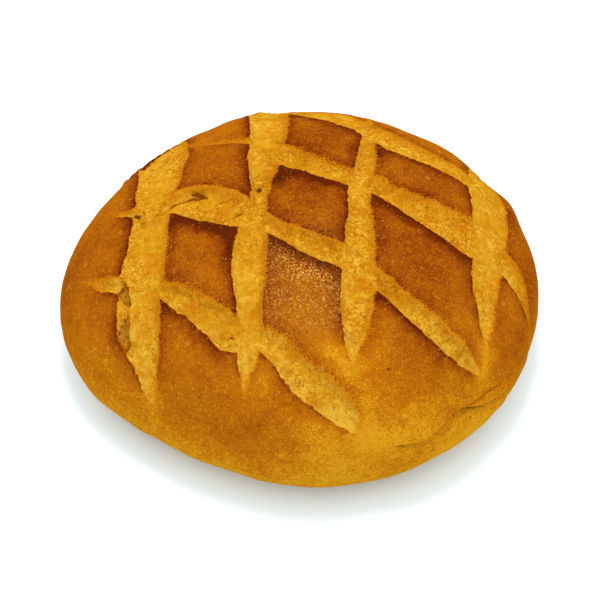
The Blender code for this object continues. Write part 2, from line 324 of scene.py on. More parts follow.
# Relief of the crumb and of the crust's skin: height and size of its waves, and the height on
# the side over which the skin's fades in.
CRUMB = ((0.00045, 0.0085), (0.00030, 0.0036), (0.00020, 0.0018))
SKIN = ((0.00018, 0.009), (0.00008, 0.0030))
SKIN_FADE = 0.006
# Gaps to a band's edge where the crumb's relief starts and is whole.
CRUMB_FROM = 0.0004
CRUMB_WHOLE = -0.0010

# Hollow cracks beside the left long band, with painted shade in and round them: (x, y, half-width)
# along each.
CRACKS = (
    (
        (-0.0824, -0.0326, 0.0003),
        (-0.0822, -0.0358, 0.0012),
        (-0.0815, -0.0396, 0.0016),
        (-0.0804, -0.0428, 0.0014),
        (-0.0792, -0.0448, 0.0002),
    ),
    (
        (-0.0801, -0.0459, 0.0003),
        (-0.0811, -0.0499, 0.0012),
        (-0.0817, -0.0544, 0.0015),
        (-0.0812, -0.0584, 0.0014),
        (-0.0795, -0.0624, 0.0002),
    ),
)
CRACK_DEPTH = 0.0016
# Stretch marks on the dough, with painted shade in them: (x, y, half-width) along each.
STRETCHES = (
    ((-0.0665, 0.0088, 0.0002), (-0.0688, 0.0010, 0.0010), (-0.0697, -0.0079, 0.0002)),
    ((-0.0765, 0.0015, 0.0002), (-0.0750, -0.0020, 0.0013), (-0.0740, -0.0060, 0.0002)),
    ((0.015, -0.0925, 0.0001), (0.0195, -0.0905, 0.0003), (0.024, -0.0875, 0.0001)),
    ((0.018, -0.0965, 0.0001), (0.0215, -0.0935, 0.0003), (0.0255, -0.0905, 0.0001)),
    ((0.010, -0.0985, 0.0001), (0.015, -0.0985, 0.0003), (0.020, -0.0990, 0.0001)),
    ((0.045, -0.006, 0.0001), (0.050, -0.001, 0.0004), (0.057, 0.003, 0.0001)),
)
STRETCH_DEPTH = 0.0004
# How ragged the edges of tears, cracks and stretch marks are: shares of the bands' strays.
TEAR_RAGGED = 0.6
CRACK_RAGGED = 0.9
STRETCH_RAGGED = 0.2

# Small pits, darkened with painted shade, and pale blisters: (x, y, z) and radius.
PITS = (
    ((0.074, -0.082, 0.033), 0.0006),
    ((0.044, -0.099, 0.040), 0.0006),
    ((0.105, -0.017, 0.048), 0.0006),
    ((0.036, -0.082, 0.066), 0.0005),
    ((0.025, -0.087, 0.064), 0.0004),
    ((-0.0206, 0.0074, 0.0874), 0.0011),
    ((-0.0771, 0.0042, 0.0726), 0.0016),
    ((-0.0755, 0.0025, 0.0740), 0.0008),
    ((-0.0739, 0.0058, 0.0744), 0.0005),
    ((-0.0809, -0.0325, 0.0666), 0.0008),
    ((-0.0776, -0.0416, 0.0630), 0.0006),
    ((-0.0768, -0.0620, 0.0511), 0.0007),
    ((-0.065, -0.084, 0.029), 0.0006),
)
PIT_DEPTH = 0.0006
BLISTERS = (
    ((0.046, -0.091, 0.052), 0.0019),
    ((0.043, -0.094, 0.050), 0.0013),
    ((-0.009, -0.106, 0.037), 0.0020),
    ((-0.045, -0.070, 0.067), 0.0014),
    ((-0.089, -0.060, 0.045), 0.0015),
    ((-0.088, -0.057, 0.050), 0.0014),
    ((0.073, -0.076, 0.047), 0.0017),
)
BLISTER_HEIGHT = 0.0003
BLISTER_RIM = 0.4
BLISTER_TOAST = -0.12
# Flakes of crust standing on the rim: (x, y, z) and radius.
FLAKES = (
    ((-0.0845, 0.0430, 0.0570), 0.0024),
    ((-0.0815, 0.0470, 0.0580), 0.0026),
    ((-0.0790, 0.0500, 0.0595), 0.0030),
    ((-0.0765, 0.0527, 0.0606), 0.0028),
    ((-0.0740, 0.0550, 0.0615), 0.0034),
    ((-0.0705, 0.0572, 0.0628), 0.0029),
    ((-0.0670, 0.0590, 0.0640), 0.0026),
    ((-0.0630, 0.0605, 0.0650), 0.0022),
    ((0.0980, 0.0240, 0.0555), 0.0026),
)
FLAKE_HEIGHT = 0.0014
# The burnt corners of the crust diamonds, seen from above.
CORNERS = (
    (-0.013, 0.023),
    (0.035, 0.002),
    (-0.060, -0.004),
    (-0.034, -0.016),
    (-0.044, -0.010),
    (-0.003, 0.079),
    (-0.015, -0.022),
    (0.032, -0.050),
    (-0.062, -0.048),
    (-0.017, -0.077),
    (0.034, 0.038),
)
CORNER_SIZE = 0.0062
CORNER_TOAST = 0.34
# Patches baked more (plus) or less (minus): (x, y, z), radius, how much. The paler ones low on the
# front are partly painted light, lighter where that side faces the floor.
PATCHES = (
    ((-0.023, -0.098, 0.048), 0.007, 0.09),
    ((0.024, -0.0925, 0.058), 0.006, -0.12),
    ((0.034, -0.1010, 0.041), 0.009, -0.13),
    ((0.020, -0.1032, 0.044), 0.009, -0.07),
    ((0.078, -0.0664, 0.049), 0.0085, -0.28),
    ((0.083, -0.0581, 0.052), 0.0065, -0.20),
    ((0.010, -0.0790, 0.0710), 0.008, -0.16),
    ((0.019, -0.0850, 0.0650), 0.009, -0.17),
    ((0.055, -0.0900, 0.044), 0.012, -0.10),
    ((-0.018, -0.1041, 0.037), 0.007, -0.07),
    ((-0.090, 0.002, 0.060), 0.012, 0.06),
    ((0.013, -0.108, 0.035), 0.018, -0.21),
    ((0.026, -0.101, 0.048), 0.012, -0.20),
    ((0.073, -0.085, 0.023), 0.020, -0.22),
    ((0.045, -0.090, 0.045), 0.014, -0.10),
    ((-0.085, -0.062, 0.045), 0.014, -0.14),
    ((-0.060, -0.085, 0.025), 0.016, -0.08),
    ((0.053, -0.032, 0.080), 0.019, 0.17),
    ((0.004, -0.002, 0.092), 0.016, 0.16),
    ((0.011, 0.046, 0.086), 0.020, 0.22),
    ((0.058, 0.021, 0.081), 0.020, 0.16),
    ((-0.041, 0.028, 0.085), 0.018, 0.09),
    ((0.104, -0.003, 0.047), 0.020, 0.14),
    ((0.095, -0.045, 0.045), 0.022, 0.10),
    ((-0.108, -0.012, 0.040), 0.024, 0.14),
    ((-0.058, 0.004, 0.083), 0.010, 0.10),
    ((-0.044, -0.010, 0.089), 0.008, 0.10),
    ((-0.034, -0.019, 0.088), 0.009, 0.28),
    ((-0.0315, -0.030, 0.087), 0.004, 0.22),
    ((-0.012, 0.014, 0.0905), 0.009, 0.34),
    ((-0.002, 0.021, 0.090), 0.009, 0.14),
    ((0.007, 0.0085, 0.0915), 0.005, 0.12),
    ((-0.044, -0.036, 0.085), 0.012, 0.05),
    ((0.045, -0.045, 0.078), 0.010, 0.05),
    ((-0.041, -0.050, 0.080), 0.007, -0.10),
    ((0.0, -0.047, 0.088), 0.012, -0.08),
    ((0.062, -0.060, 0.068), 0.014, -0.16),
    ((0.083, -0.030, 0.062), 0.010, -0.08),
    ((0.009, -0.1015, 0.050), 0.010, -0.20),
    ((-0.015, -0.082, 0.067), 0.010, -0.20),
    ((-0.004, -0.0945, 0.0575), 0.009, -0.10),
    ((-0.027, -0.080, 0.064), 0.007, -0.12),
    ((-0.0705, -0.076, 0.040), 0.009, -0.22),
    ((0.066, -0.0745, 0.055), 0.010, -0.14),
    ((0.095, -0.029, 0.053), 0.010, -0.20),
    ((-0.0735, 0.008, 0.0742), 0.014, 0.07),
    ((-0.0730, -0.010, 0.0740), 0.014, 0.06),
    ((-0.0300, -0.031, 0.0850), 0.007, 0.06),
    ((0.0160, -0.0265, 0.0888), 0.007, 0.05),
    ((0.045, -0.0985, 0.040), 0.010, -0.16),
    ((0.020, -0.0770, 0.070), 0.010, -0.14),
    ((0.010, -0.0805, 0.070), 0.008, -0.06),
    ((-0.020, -0.0785, 0.067), 0.008, -0.12),
    ((-0.030, -0.0785, 0.0655), 0.007, -0.10),
    ((-0.0703, -0.0746, 0.0434), 0.007, -0.10),
    ((0.035, -0.0610, 0.0774), 0.007, -0.10),
    ((0.041, -0.0660, 0.0736), 0.007, -0.08),
    ((0.038, -0.0200, 0.0868), 0.011, 0.12),
    ((0.062, -0.0480, 0.0736), 0.009, 0.12),
    ((-0.058, -0.0340, 0.0780), 0.010, 0.12),
    ((-0.031, -0.0320, 0.0846), 0.006, 0.08),
    ((-0.0743, 0.0190, 0.0732), 0.010, 0.08),
    ((0.0930, 0.0010, 0.0610), 0.012, -0.11),
    ((0.0870, -0.0450, 0.0560), 0.010, -0.13),
    ((0.0299, 0.0021, 0.0892), 0.007, -0.13),
    ((0.0097, 0.0249, 0.0868), 0.008, -0.13),
    ((0.0024, -0.0635, 0.0803), 0.008, -0.14),
    ((-0.0168, -0.0794, 0.0692), 0.006, -0.10),
    ((-0.0376, -0.0159, 0.0878), 0.006, -0.09),
    ((0.0420, -0.0455, 0.0800), 0.007, -0.10),
    ((0.0158, -0.0264, 0.0888), 0.007, 0.06),
    ((-0.0305, -0.0355, 0.0830), 0.007, 0.09),
    ((0.0775, -0.0200, 0.0682), 0.009, 0.09),
)
# Where the lips are hardly burnt: (x, y), radius, how much less.
PALE_LIPS = (
    ((-0.014, -0.083), 0.013, 0.75),
    ((0.008, -0.101), 0.015, 0.95),
    ((-0.0705, -0.077), 0.012, 0.80),
    ((0.066, -0.0745), 0.012, 0.50),
    ((0.095, -0.029), 0.012, 0.70),
    ((0.020, -0.077), 0.010, 0.50),
    ((0.034, -0.062), 0.008, 0.40),
)
# The sheen of the middle diamond: where it is, seen from above, and its radius. It makes the
# diamond glossier, and it also carries the painted highlights on it.
GLOSS_AT = (0.0, -0.046)
GLOSS_SIZE = 0.025
# Where the painted highlights on the sheen are strongest: (x, y, z), radius, how much.
PAINTED_HIGHLIGHTS = (
    ((0.001, -0.042, 0.089), 0.0075, 1.2),
    ((-0.010, -0.031, 0.090), 0.006, 0.5),
    ((0.009, -0.056, 0.086), 0.010, 0.5),
)

# Lengths that the finish reads are in millimetres, and go no further than this.
MM = 1000
FAR_MM = 9.0
# Added to the gap where the bands' relief is none, so that no crumb shows low on the side.
LOW_SIDE_MM = 12


def eased(low, high, value):
    """0 at or under low, 1 at or over high, smooth between."""
    share = np.clip((value - low) / (high - low), 0.0, 1.0)
    return share * share * (3.0 - 2.0 * share)


def waves(points, size, seed):
    """Seeded smooth noise from -1 to 1 over points, with waves of about that size."""
    shift = Vector((seed * 3.1, seed * 1.7, seed * 5.3))
    return np.array([noise.noise(Vector(p) / size + shift) for p in points])


def layered_waves(points, layers, first_seed):
    """The sum of several waves: each a height and a size."""
    return sum(much * waves(points, size, seed)
               for seed, (much, size) in enumerate(layers, first_seed))


def outline_radius(angle):
    """How far out the loaf reaches at its widest height, at an angle round it."""
    swell = sum(
        share * np.cos(count * (angle - math.radians(peak)))
        for count, share, peak in OUTLINE_WAVES
    )
    return MEAN_RADIUS * (1.0 + swell)


def body_points(directions):
    """Wrap a unit ball round the loaf's body: domed top, tucked side and flat underside."""
    side = BASE_SHARE * MEAN_RADIUS
    tuck = MEAN_RADIUS - side
    dome_arc = math.pi / 2 * math.sqrt((MEAN_RADIUS**2 + (DOME_HEIGHT - WIDEST_HEIGHT) ** 2) / 2)
    tuck_arc = math.pi / 2 * math.sqrt((tuck**2 + WIDEST_HEIGHT**2) / 2)
    travel = np.arccos(np.clip(directions[:, 2], -1, 1)) / math.pi * (dome_arc + tuck_arc + side)
    angle = np.arctan2(directions[:, 1], directions[:, 0])

    dome_turn = np.clip(travel / dome_arc, 0, 1) * math.pi / 2
    tuck_turn = np.clip((travel - dome_arc) / tuck_arc, 0, 1) * math.pi / 2
    base_share = np.clip((travel - dome_arc - tuck_arc) / side, 0, 1)

    full = 2.0 / DOME_FULLNESS
    full_tuck = 2.0 / TUCK_FULLNESS
    reach = np.sin(dome_turn) ** full
    reach -= (1.0 - BASE_SHARE) * (1.0 - np.abs(np.cos(tuck_turn)) ** full_tuck)
    reach *= 1.0 - base_share
    height = WIDEST_HEIGHT + (DOME_HEIGHT - WIDEST_HEIGHT) * np.abs(np.cos(dome_turn)) ** full
    height -= WIDEST_HEIGHT * np.sin(tuck_turn) ** full_tuck
    height[base_share > 0] = 0.0
    radius = outline_radius(angle) * reach
    return np.column_stack([radius * np.cos(angle), radius * np.sin(angle), height])


def through(stations, along):
    """A smooth curve through stations: column 0 is the place along, the rest its values."""
    at, values = stations[:, 0], stations[:, 1:]
    slopes = np.gradient(values, at, axis=0)
    first = np.clip(np.searchsorted(at, along) - 1, 0, len(at) - 2)
    span = (at[first + 1] - at[first])[:, None]
    t = np.clip((along - at[first]) / span[:, 0], 0, 1)[:, None]
    bend = (values[first + 1] - values[first]) * (t * t * (3 - 2 * t))
    lean = span * t * (1 - t) * (slopes[first] * (1 - t) - slopes[first + 1] * t)
    return values[first] + bend + lean


def band_sides(plan, band):
    """Signed place across a band (minus at its lip side), gap to its edge and half-width."""
    stations = np.array(band)
    start = stations[0, :2]
    run = stations[-1, :2] - start
    run /= np.linalg.norm(run)
    across = np.array([-run[1], run[0]])
    local = np.column_stack([
        (stations[:, :2] - start) @ run,
        (stations[:, :2] - start) @ across,
        stations[:, 2],
    ])
    along = (plan - start) @ run
    centre, half = through(local, along).T
    beyond = np.maximum(-along, 0) + np.maximum(along - local[-1, 0], 0)
    place = (plan - start) @ across - centre
    return place, np.hypot(np.abs(place), beyond) - half, half


def scored(plan, stray):
    """What the score bands do at each point: a dict of relief and of masks for the finish."""
    count = len(plan)
    sunk = np.zeros(count)
    lip = np.zeros(count)
    burn = np.zeros(count)
    soft = np.zeros(count)
    lean = np.zeros(count)
    thin = np.zeros(count)
    nearest = np.full(count, 1.0)
    groups = (
        (LONG_BANDS, LONG_BURNS, LONG_SOFTNESS, LONG_BURN_WIDTH, LONG_DEPTH, LONG_SLOPE,
         LONG_LIFT),
        (SLANTED_BANDS, SLANTED_BURNS, SLANTED_SOFTNESS, SLANTED_BURN_WIDTH, SLANTED_DEPTH,
         SLANTED_SLOPE, SLANTED_LIFT),
    )
    for bands, burns, softness, spread, depth, slope, lift in groups:
        for band, burnt, softly in zip(bands, burns, softness):
            place, gap, half = band_sides(plan, band)
            gap = gap + stray
            lip_side = eased(LIP_SIDE_FROM, LIP_SIDE_WHOLE, place)
            wall = slope + (LIP_WALL - slope) * lip_side
            wide = eased(0, FULL_DEPTH_HALF_WIDTH, half)
            inside = eased(0, 1, -gap / wall)
            sunk = np.maximum(sunk, depth * wide * inside)
            outside = np.maximum(gap, 0)
            near = np.exp(-outside / LIP_WIDTH) * (1 - inside)
            lip = np.maximum(lip, lift * wide * near * lip_side)
            burn = np.maximum(burn, burnt * wide**2 * np.exp(-outside / spread) * lip_side)
            closer = gap < nearest
            soft = np.where(closer, (1 - lip_side) * softly, soft)
            lean = np.where(closer, np.clip(place / np.maximum(half, LEAN_MIN), -1, 1), lean)
            thin = np.where(closer, eased(TIP_FULL, TIP_NONE, half), thin)
            nearest = np.minimum(nearest, gap)
    for corner, radius in OPENINGS:
        gap = np.linalg.norm(plan - np.array(corner), axis=1) - radius + stray
        sunk = np.maximum(sunk, OPENING_DEPTH * eased(0, 1, -gap / LONG_SLOPE))
        soft = np.where(gap < nearest, OPENING_SOFTNESS, soft)
        nearest = np.minimum(nearest, gap)
    edge = eased(PILLOW_EDGE, 0, nearest)
    relief = LIP_RISE * lip - PILLOW_DROP * edge - sunk
    return {"relief": relief, "gap": nearest, "burn": burn, "soft": soft, "lean": lean,
            "thin": thin}


def bite_share(points):
    """How much of the bands' relief there is: less low on the sides and down the back."""
    plan = points[:, :2]
    far = np.linalg.norm(plan, axis=1)
    out = far / outline_radius(np.arctan2(plan[:, 1], plan[:, 0]))
    behind = eased(-BACK_TURN, BACK_TURN, plan[:, 1] / np.maximum(far, 1e-6))
    back = (1 - BACK_LEFT) * eased(BACK_FROM, BACK_TO, out) * behind
    return eased(BITE_NONE, BITE_FULL, points[:, 2]) * (1 - back)


def crevice(plan, line, stray):
    """How deep in a crevice each point is, and how near to its front edge: both 0 to 1."""
    place, gap, half = band_sides(plan, line)
    gap = gap + stray
    deep = eased(CREVICE_WALL, -CREVICE_WALL, gap) * eased(0, CREVICE_FULL, half)
    near = np.exp(-np.maximum(gap, 0) / TEAR_LIP_WIDTH) * eased(0, CREVICE_WIDE, half)
    return deep, near * eased(CREVICE_FRONT, -CREVICE_FRONT, place) * (1 - deep)


def grooved(plan, lines, stray):
    """The deepest of the crevices at each point, and the lips in front of them."""
    deep = np.zeros(len(plan))
    lips = np.zeros(len(plan))
    for line in lines:
        here, lip = crevice(plan, line, stray)
        deep = np.maximum(deep, here)
        lips = np.maximum(lips, lip)
    return deep, lips


def gap_to(plan, lines, stray):
    """Millimetres to the edge of the nearest crevice, minus inside it."""
    gaps = np.full(len(plan), FAR_MM)
    for line in lines:
        _, gap, half = band_sides(plan, line)
        gaps = np.minimum(gaps, (gap + stray) * MM + eased(CREVICE_WIDE, 0, half))
    return gaps


def fold_relief(points):
    """The tucked folds' relief, and two marks for the finish from each fold: the millimetres
    over its crease, and how far past the crease's ends a point is."""
    angle = np.degrees(np.arctan2(points[:, 1], points[:, 0]))
    relief = np.zeros(len(points))
    creases = []
    for stations, strength in FOLDS:
        stations = np.array(stations)
        over = points[:, 2] - through(stations, angle)[:, 0]
        fade = eased(0, FOLD_END, angle - stations[0, 0])
        fade *= eased(0, FOLD_END, stations[-1, 0] - angle) * strength
        below = eased(FOLD_EDGE, -FOLD_CUT, over)
        below *= eased(-FOLD_WIDTH - FOLD_FADE, -FOLD_CUT, over)
        above = FOLD_LIP * eased(-FOLD_EDGE, FOLD_LIP_TOP, over)
        above *= eased(FOLD_LIP_WIDTH, FOLD_LIP_TOP, over)
        bulge = FOLD_BULGE * eased(0, -FOLD_FADE, over)
        bulge *= eased(-FOLD_BULGE_WIDTH, -FOLD_BULGE_FULL, over)
        relief += fade * (bulge + FOLD_DEPTH * (above - below))
        groove = fade * np.exp(-(((over + GROOVE_UNDER) / GROOVE_WIDTH) ** 2))
        relief -= GROOVE_DEPTH * groove
        past = eased(CREASE_END, 0, np.minimum(angle - stations[0, 0], stations[-1, 0] - angle))
        past = past + CREASE_WEAKER * (1 - strength)
        creases.append((np.clip((over + CREASE_UNDER) * MM, -FAR_MM, FAR_MM), past))
    return relief, creases


def spotted(points, spots, rim=1.0):
    """1 in the middle of each spot, 0 outside them; rim is how wide the soft rim is."""
    total = np.zeros(len(points))
    for place, radius in spots:
        far = np.linalg.norm(points - np.array(place), axis=1)
        total = np.maximum(total, eased(radius * (1 + rim), radius * (1 - 0.5 * rim), far))
    return total


def patches(points, table):
    """The sum of soft round patches: each a place, a radius and how much."""
    total = np.zeros(len(points))
    for place, size, much in table:
        far = np.linalg.norm(points - np.array(place), axis=1)
        total += much * np.exp(-((far / size) ** 2))
    return total


def toasted(points):
    """Baked more or less than round about: the diamonds' corners and the patches."""
    corners = [(corner, CORNER_SIZE, CORNER_TOAST) for corner in CORNERS]
    return patches(points[:, :2], corners) + patches(points, PATCHES)


def unevenness(points):
    """Slow, seeded waves of the dough's surface."""
    return np.array([UNEVEN * noise.noise((p[0] / UNEVEN_SIZE, p[1] / UNEVEN_SIZE,
                                           p[2] / UNEVEN_SIZE + UNEVEN_SHIFT)) for p in points])


def needs_detail(place):
    """Whether a point of the ball is on the scored top or by the folds."""
    angle = math.degrees(math.atan2(place.y, place.x))
    first, last = FOLDS[0][0][0][0], FOLDS[0][0][-1][0]
    by_folds = first - FINE_PAST_FOLDS < angle < last + FINE_PAST_FOLDS
    return place.z > (FINE_FROM_AT_FOLDS if by_folds else FINE_FROM)


def fine_ball():
    """A ball of points, twice as dense over the scored top."""
    ball = bmesh.new()
    bmesh.ops.create_icosphere(ball, subdivisions=BALL_LEVEL, radius=1.0)
    top = [e for e in ball.edges if all(needs_detail(v.co) for v in e.verts)]
    bmesh.ops.subdivide_edges(ball, edges=top, cuts=1, use_grid_fill=True)
    bmesh.ops.triangulate(ball, faces=[f for f in ball.faces if len(f.verts) > 3])
    for vert in ball.verts:
        vert.co.normalize()
    mesh = bpy.data.meshes.new("sourdough_loaf")
    ball.to_mesh(mesh)
    ball.free()
    return mesh


def get_vectors(collection, field):
    """A field of a mesh's points, one row for each."""
    flat = np.empty(len(collection) * 3)
    collection.foreach_get(field, flat)
    return flat.reshape(-1, 3)


def store(mesh, name, values):
    """Keep a value for every point, for the finish to read."""
    layer = mesh.attributes.new(name, "FLOAT", "POINT")
    layer.data.foreach_set("value", values.astype(np.float32))


def bake_loaf():
    """The loaf's mesh: the body with all its relief, and the marks that its finish reads."""
    mesh = fine_ball()
    points = body_points(get_vectors(mesh.vertices, "co"))
    mesh.vertices.foreach_set("co", points.ravel())
    mesh.update()
    normals = get_vectors(mesh.vertex_normals, "vector")

    plan = points[:, :2]
    height = points[:, 2]
    bite = bite_share(points)
    high = eased(BITE_NONE, BITE_FULL, height)
    stray = layered_waves(points, RAGGED, 1)
    marks = scored(plan, stray)
    crumbly = eased(CRUMB_FROM, CRUMB_WHOLE, marks["gap"]) * high
    crumb = layered_waves(points, CRUMB, 4)
    skin = layered_waves(points, SKIN, 8)
    fold, creases = fold_relief(points)

    torn, torn_lip = grooved(plan, TEARS, TEAR_RAGGED * stray)
    cracked, _ = grooved(plan, CRACKS, CRACK_RAGGED * stray)
    stretched, _ = grooved(plan, STRETCHES, STRETCH_RAGGED * stray)
    relief = bite * (marks["relief"] + TEAR_LIP * torn_lip - TEAR_DEPTH * torn)
    relief -= CRACK_DEPTH * cracked + STRETCH_DEPTH * stretched
    relief += fold + (unevenness(points) + patches(points, SWELLS)) * eased(0, SWELL_FADE, height)
    settled = points + normals * relief[:, None]
    pits = spotted(settled, PITS)
    blisters = spotted(settled, BLISTERS, BLISTER_RIM)
    flakes = spotted(points, FLAKES)
    relief += BLISTER_HEIGHT * blisters + FLAKE_HEIGHT * flakes - PIT_DEPTH * pits
    relief += crumb * crumbly + skin * (1 - crumbly) * eased(0, SKIN_FADE, height)
    moved = points + normals * relief[:, None]
    moved[:, 2] = np.maximum(moved[:, 2], 0.0)
    moved[:, :2] += CENTRING
    mesh.vertices.foreach_set("co", moved.ravel())

    from_gloss = np.linalg.norm(plan - np.array(GLOSS_AT), axis=1) / GLOSS_SIZE
    unburnt = np.clip(1 - patches(plan, PALE_LIPS), 0, 1)
    store(mesh, "gap_mm", marks["gap"] * MM + LOW_SIDE_MM * (1 - high))
    store(mesh, "burn", marks["burn"] * high * unburnt)
    store(mesh, "height", height / DOME_HEIGHT)
    store(mesh, "soft", marks["soft"])
    store(mesh, "lean", marks["lean"])
    store(mesh, "thin", marks["thin"])
    for number, (over, past) in enumerate(creases, 1):
        store(mesh, "crease_%d_mm" % number, over)
        store(mesh, "crease_%d_end" % number, past)
    store(mesh, "pit", pits)
    store(mesh, "tear_mm", gap_to(plan, TEARS, TEAR_RAGGED * stray))
    store(mesh, "hollow_mm", gap_to(plan, CRACKS, CRACK_RAGGED * stray))
    store(mesh, "stretch", stretched)
    store(mesh, "toast", toasted(points) + BLISTER_TOAST * blisters)
    store(mesh, "flake", flakes)
    store(mesh, "gloss", np.exp(-(from_gloss**4)))
    store(mesh, "painted_highlight", patches(points, PAINTED_HIGHLIGHTS))
    mesh.polygons.foreach_set("use_smooth", [True] * len(mesh.polygons))
    mesh.update()
    loaf = bpy.data.objects.new("sourdough_loaf", mesh)
    bpy.context.scene.collection.objects.link(loaf)
    return loaf


class Maker:
    """Places and links nodes in one node tree."""

    # The mix node's places for a share and two colours, and for the colour it gives.
    MIX_SHARE, MIX_UNDER, MIX_OVER, MIX_RESULT = 0, 6, 7, 2

    def __init__(self, tree):
        self.tree = tree

    def node(self, kind, **settings):
        made = self.tree.nodes.new(kind)
        for name, value in settings.items():
            setattr(made, name, value)
        return made

    def plug(self, socket, value):
        """Link a socket into another, or set it to a number or a colour."""
        if isinstance(value, bpy.types.NodeSocket):
            self.tree.links.new(value, socket)
        elif value is not None:
            socket.default_value = value

    def value_of(self, name):
        """A value that the mesh stores for every point."""
        return self.node("ShaderNodeAttribute", attribute_name=name).outputs["Fac"]

    def math(self, operation, a, b=None, c=None, clamp=False):
        made = self.node("ShaderNodeMath", operation=operation, use_clamp=clamp)
        for socket, value in zip(made.inputs, (a, b, c)):
            self.plug(socket, value)
        return made.outputs[0]

    def total(self, *values):
        result = values[0]
        for value in values[1:]:
            result = self.math("ADD", result, value)
        return result

    def product(self, *values):
        result = values[0]
        for value in values[1:]:
            result = self.math("MULTIPLY", result, value)
        return result

    def most(self, *values):
        result = values[0]
        for value in values[1:]:
            result = self.math("MAXIMUM", result, value)
        return result

    def line(self, value, slope, offset):
        """slope * value + offset."""
        return self.math("MULTIPLY_ADD", value, slope, offset)

    def swing(self, value, much):
        """A pattern from 0 to 1, made to run from -much / 2 to much / 2."""
        if isinstance(much, bpy.types.NodeSocket):
            return self.line(value, much, self.product(much, -0.5))
        return self.line(value, much, -0.5 * much)

    def from_middle(self, value):
        """How far a pattern from 0 to 1 is from its middle, either way."""
        return self.math("ABSOLUTE", self.math("SUBTRACT", value, 0.5))

    def span(self, value, low, high, to_low=0.0, to_high=1.0):
        """The value eased from to_low at low to to_high at high."""
        made = self.node("ShaderNodeMapRange", interpolation_type="SMOOTHSTEP")
        for name, given in (("Value", value), ("From Min", low), ("From Max", high),
                            ("To Min", to_low), ("To Max", to_high)):
            self.plug(made.inputs[name], given)
        return made.outputs["Result"]

    def noise(self, place, scale, detail=2.0, roughness=0.5, distortion=0.0):
        made = self.node("ShaderNodeTexNoise")
        for name, given in (("Vector", place), ("Scale", scale), ("Detail", detail),
                            ("Roughness", roughness), ("Distortion", distortion)):
            self.plug(made.inputs[name], given)
        return made.outputs["Fac"]

    def spots(self, place, scale, size, share):
        """Round spots in a share of the cells: 1 in the middle of each, 0 outside."""
        cells = self.node("ShaderNodeTexVoronoi")
        self.plug(cells.inputs["Vector"], place)
        self.plug(cells.inputs["Scale"], scale)
        draw = self.node("ShaderNodeSeparateColor")
        self.plug(draw.inputs["Color"], cells.outputs["Color"])
        picked = self.math("LESS_THAN", draw.outputs["Red"], share)
        return self.product(self.span(cells.outputs["Distance"], size, 0.3 * size), picked)

    def ramp(self, value, stops):
        made = self.node("ShaderNodeValToRGB")
        ramp = made.color_ramp
        while len(ramp.elements) < len(stops):
            ramp.elements.new(0.5)
        for element, (place, colour) in zip(ramp.elements, stops):
            element.position = place
            element.color = (*colour, 1.0)
        self.plug(made.inputs["Fac"], value)
        return made.outputs["Color"]

    def mix(self, share, under, over):
        """The second colour laid over the first, by that share."""
        made = self.node("ShaderNodeMix", data_type="RGBA")
        self.plug(made.inputs[self.MIX_SHARE], share)
        self.plug(made.inputs[self.MIX_UNDER], under)
        self.plug(made.inputs[self.MIX_OVER], (*over, 1.0) if isinstance(over, tuple) else over)
        return made.outputs[self.MIX_RESULT]


# Linear colours of the crust, from palest to most baked, and how baked each is. The golden ones
# that the low side takes are partly painted light, brighter there as if lit from the floor.
PALE_GOLD = (0.510, 0.240, 0.0090)
GOLDEN = (0.470, 0.198, 0.0050)
ORANGE = (0.368, 0.116, 0.0025)
AMBER = (0.285, 0.076, 0.0024)
CHESTNUT = (0.200, 0.042, 0.0022)
DARK_BAKED = (0.118, 0.0185, 0.0012)
BURNT = (0.050, 0.0072, 0.0010)
CRUST_COLOURS = ((0.0, PALE_GOLD), (0.09, GOLDEN), (0.25, ORANGE), (0.45, AMBER),
                 (0.62, CHESTNUT), (0.80, DARK_BAKED), (1.0, BURNT))
# Colours of the crumb, from darkest to palest: partly its own mottling, partly painted shade in
# its pits and painted highlight on its crests.
CRUMB_BROWN = (0.290, 0.098, 0.0030)
CRUMB_SHADE = (0.410, 0.164, 0.0040)
CRUMB_GOLD = (0.462, 0.218, 0.0084)
CRUMB_PALE = (0.560, 0.325, 0.0300)
CRUMB_COLOURS = ((0.35, CRUMB_BROWN), (0.44, CRUMB_SHADE), (0.52, CRUMB_GOLD),
                 (0.64, CRUMB_PALE))
# Colours laid over parts of them.
CRUMB_DEEP = (0.385, 0.112, 0.0020)
# Painted shade in the crumb's pores and fine cracks.
PORE_SHADE = (0.210, 0.066, 0.0028)
SCORCHED = (0.128, 0.0175, 0.0010)
# Painted highlight: the glint colour laid on the glossy diamond.
PAINTED_GLINT = (0.640, 0.300, 0.0450)
# Pale specks and blisters on the crust; the small specks and sparks are partly painted glints.
SPECK = (0.480, 0.215, 0.0200)
HOLLOW_SHADE = (0.255, 0.076, 0.0026)
CREVICE_SHADE = (0.125, 0.028, 0.0014)
CREASE_SHADE = (0.085, 0.013, 0.0012)

# Patterns: waves per metre, detail, roughness and distortion.
BROAD = (38.0, 3.0, 0.55)
PATCHY = (150.0, 3.0, 0.6)
MOTTLE = (480.0, 4.0, 0.65)
GRAIN = (1300.0, 3.0, 0.6)
WRINKLE = (1150.0, 3.0, 0.6, 0.3)
RIDGES = (800.0, 1.0, 0.5, 0.3)
RIDGE_CRESTS = (0.075, 0.01)
DOUGH_CLOUDS = (90.0, 2.0)
DOUGH_FLECKS = (300.0, 3.0, 0.6)
DOUGH_CRUMBS = (800.0, 3.0, 0.7)
DOUGH_CRUMBLY = (75.0, 2.0)
DOUGH_STAINS = (120.0, 3.0, 0.6)
DOUGH_VEINS = (150.0, 4.0, 0.6)
# Spots: cells per metre, a spot's size in its cell, and the share of cells that have one.
SPECKS = (300.0, 0.17, 0.22)
PALE_SPOTS = (120.0, 0.24, 0.16)
SPARKS = (640.0, 0.34, 0.34)
PORES = (560.0, 0.27, 0.26)

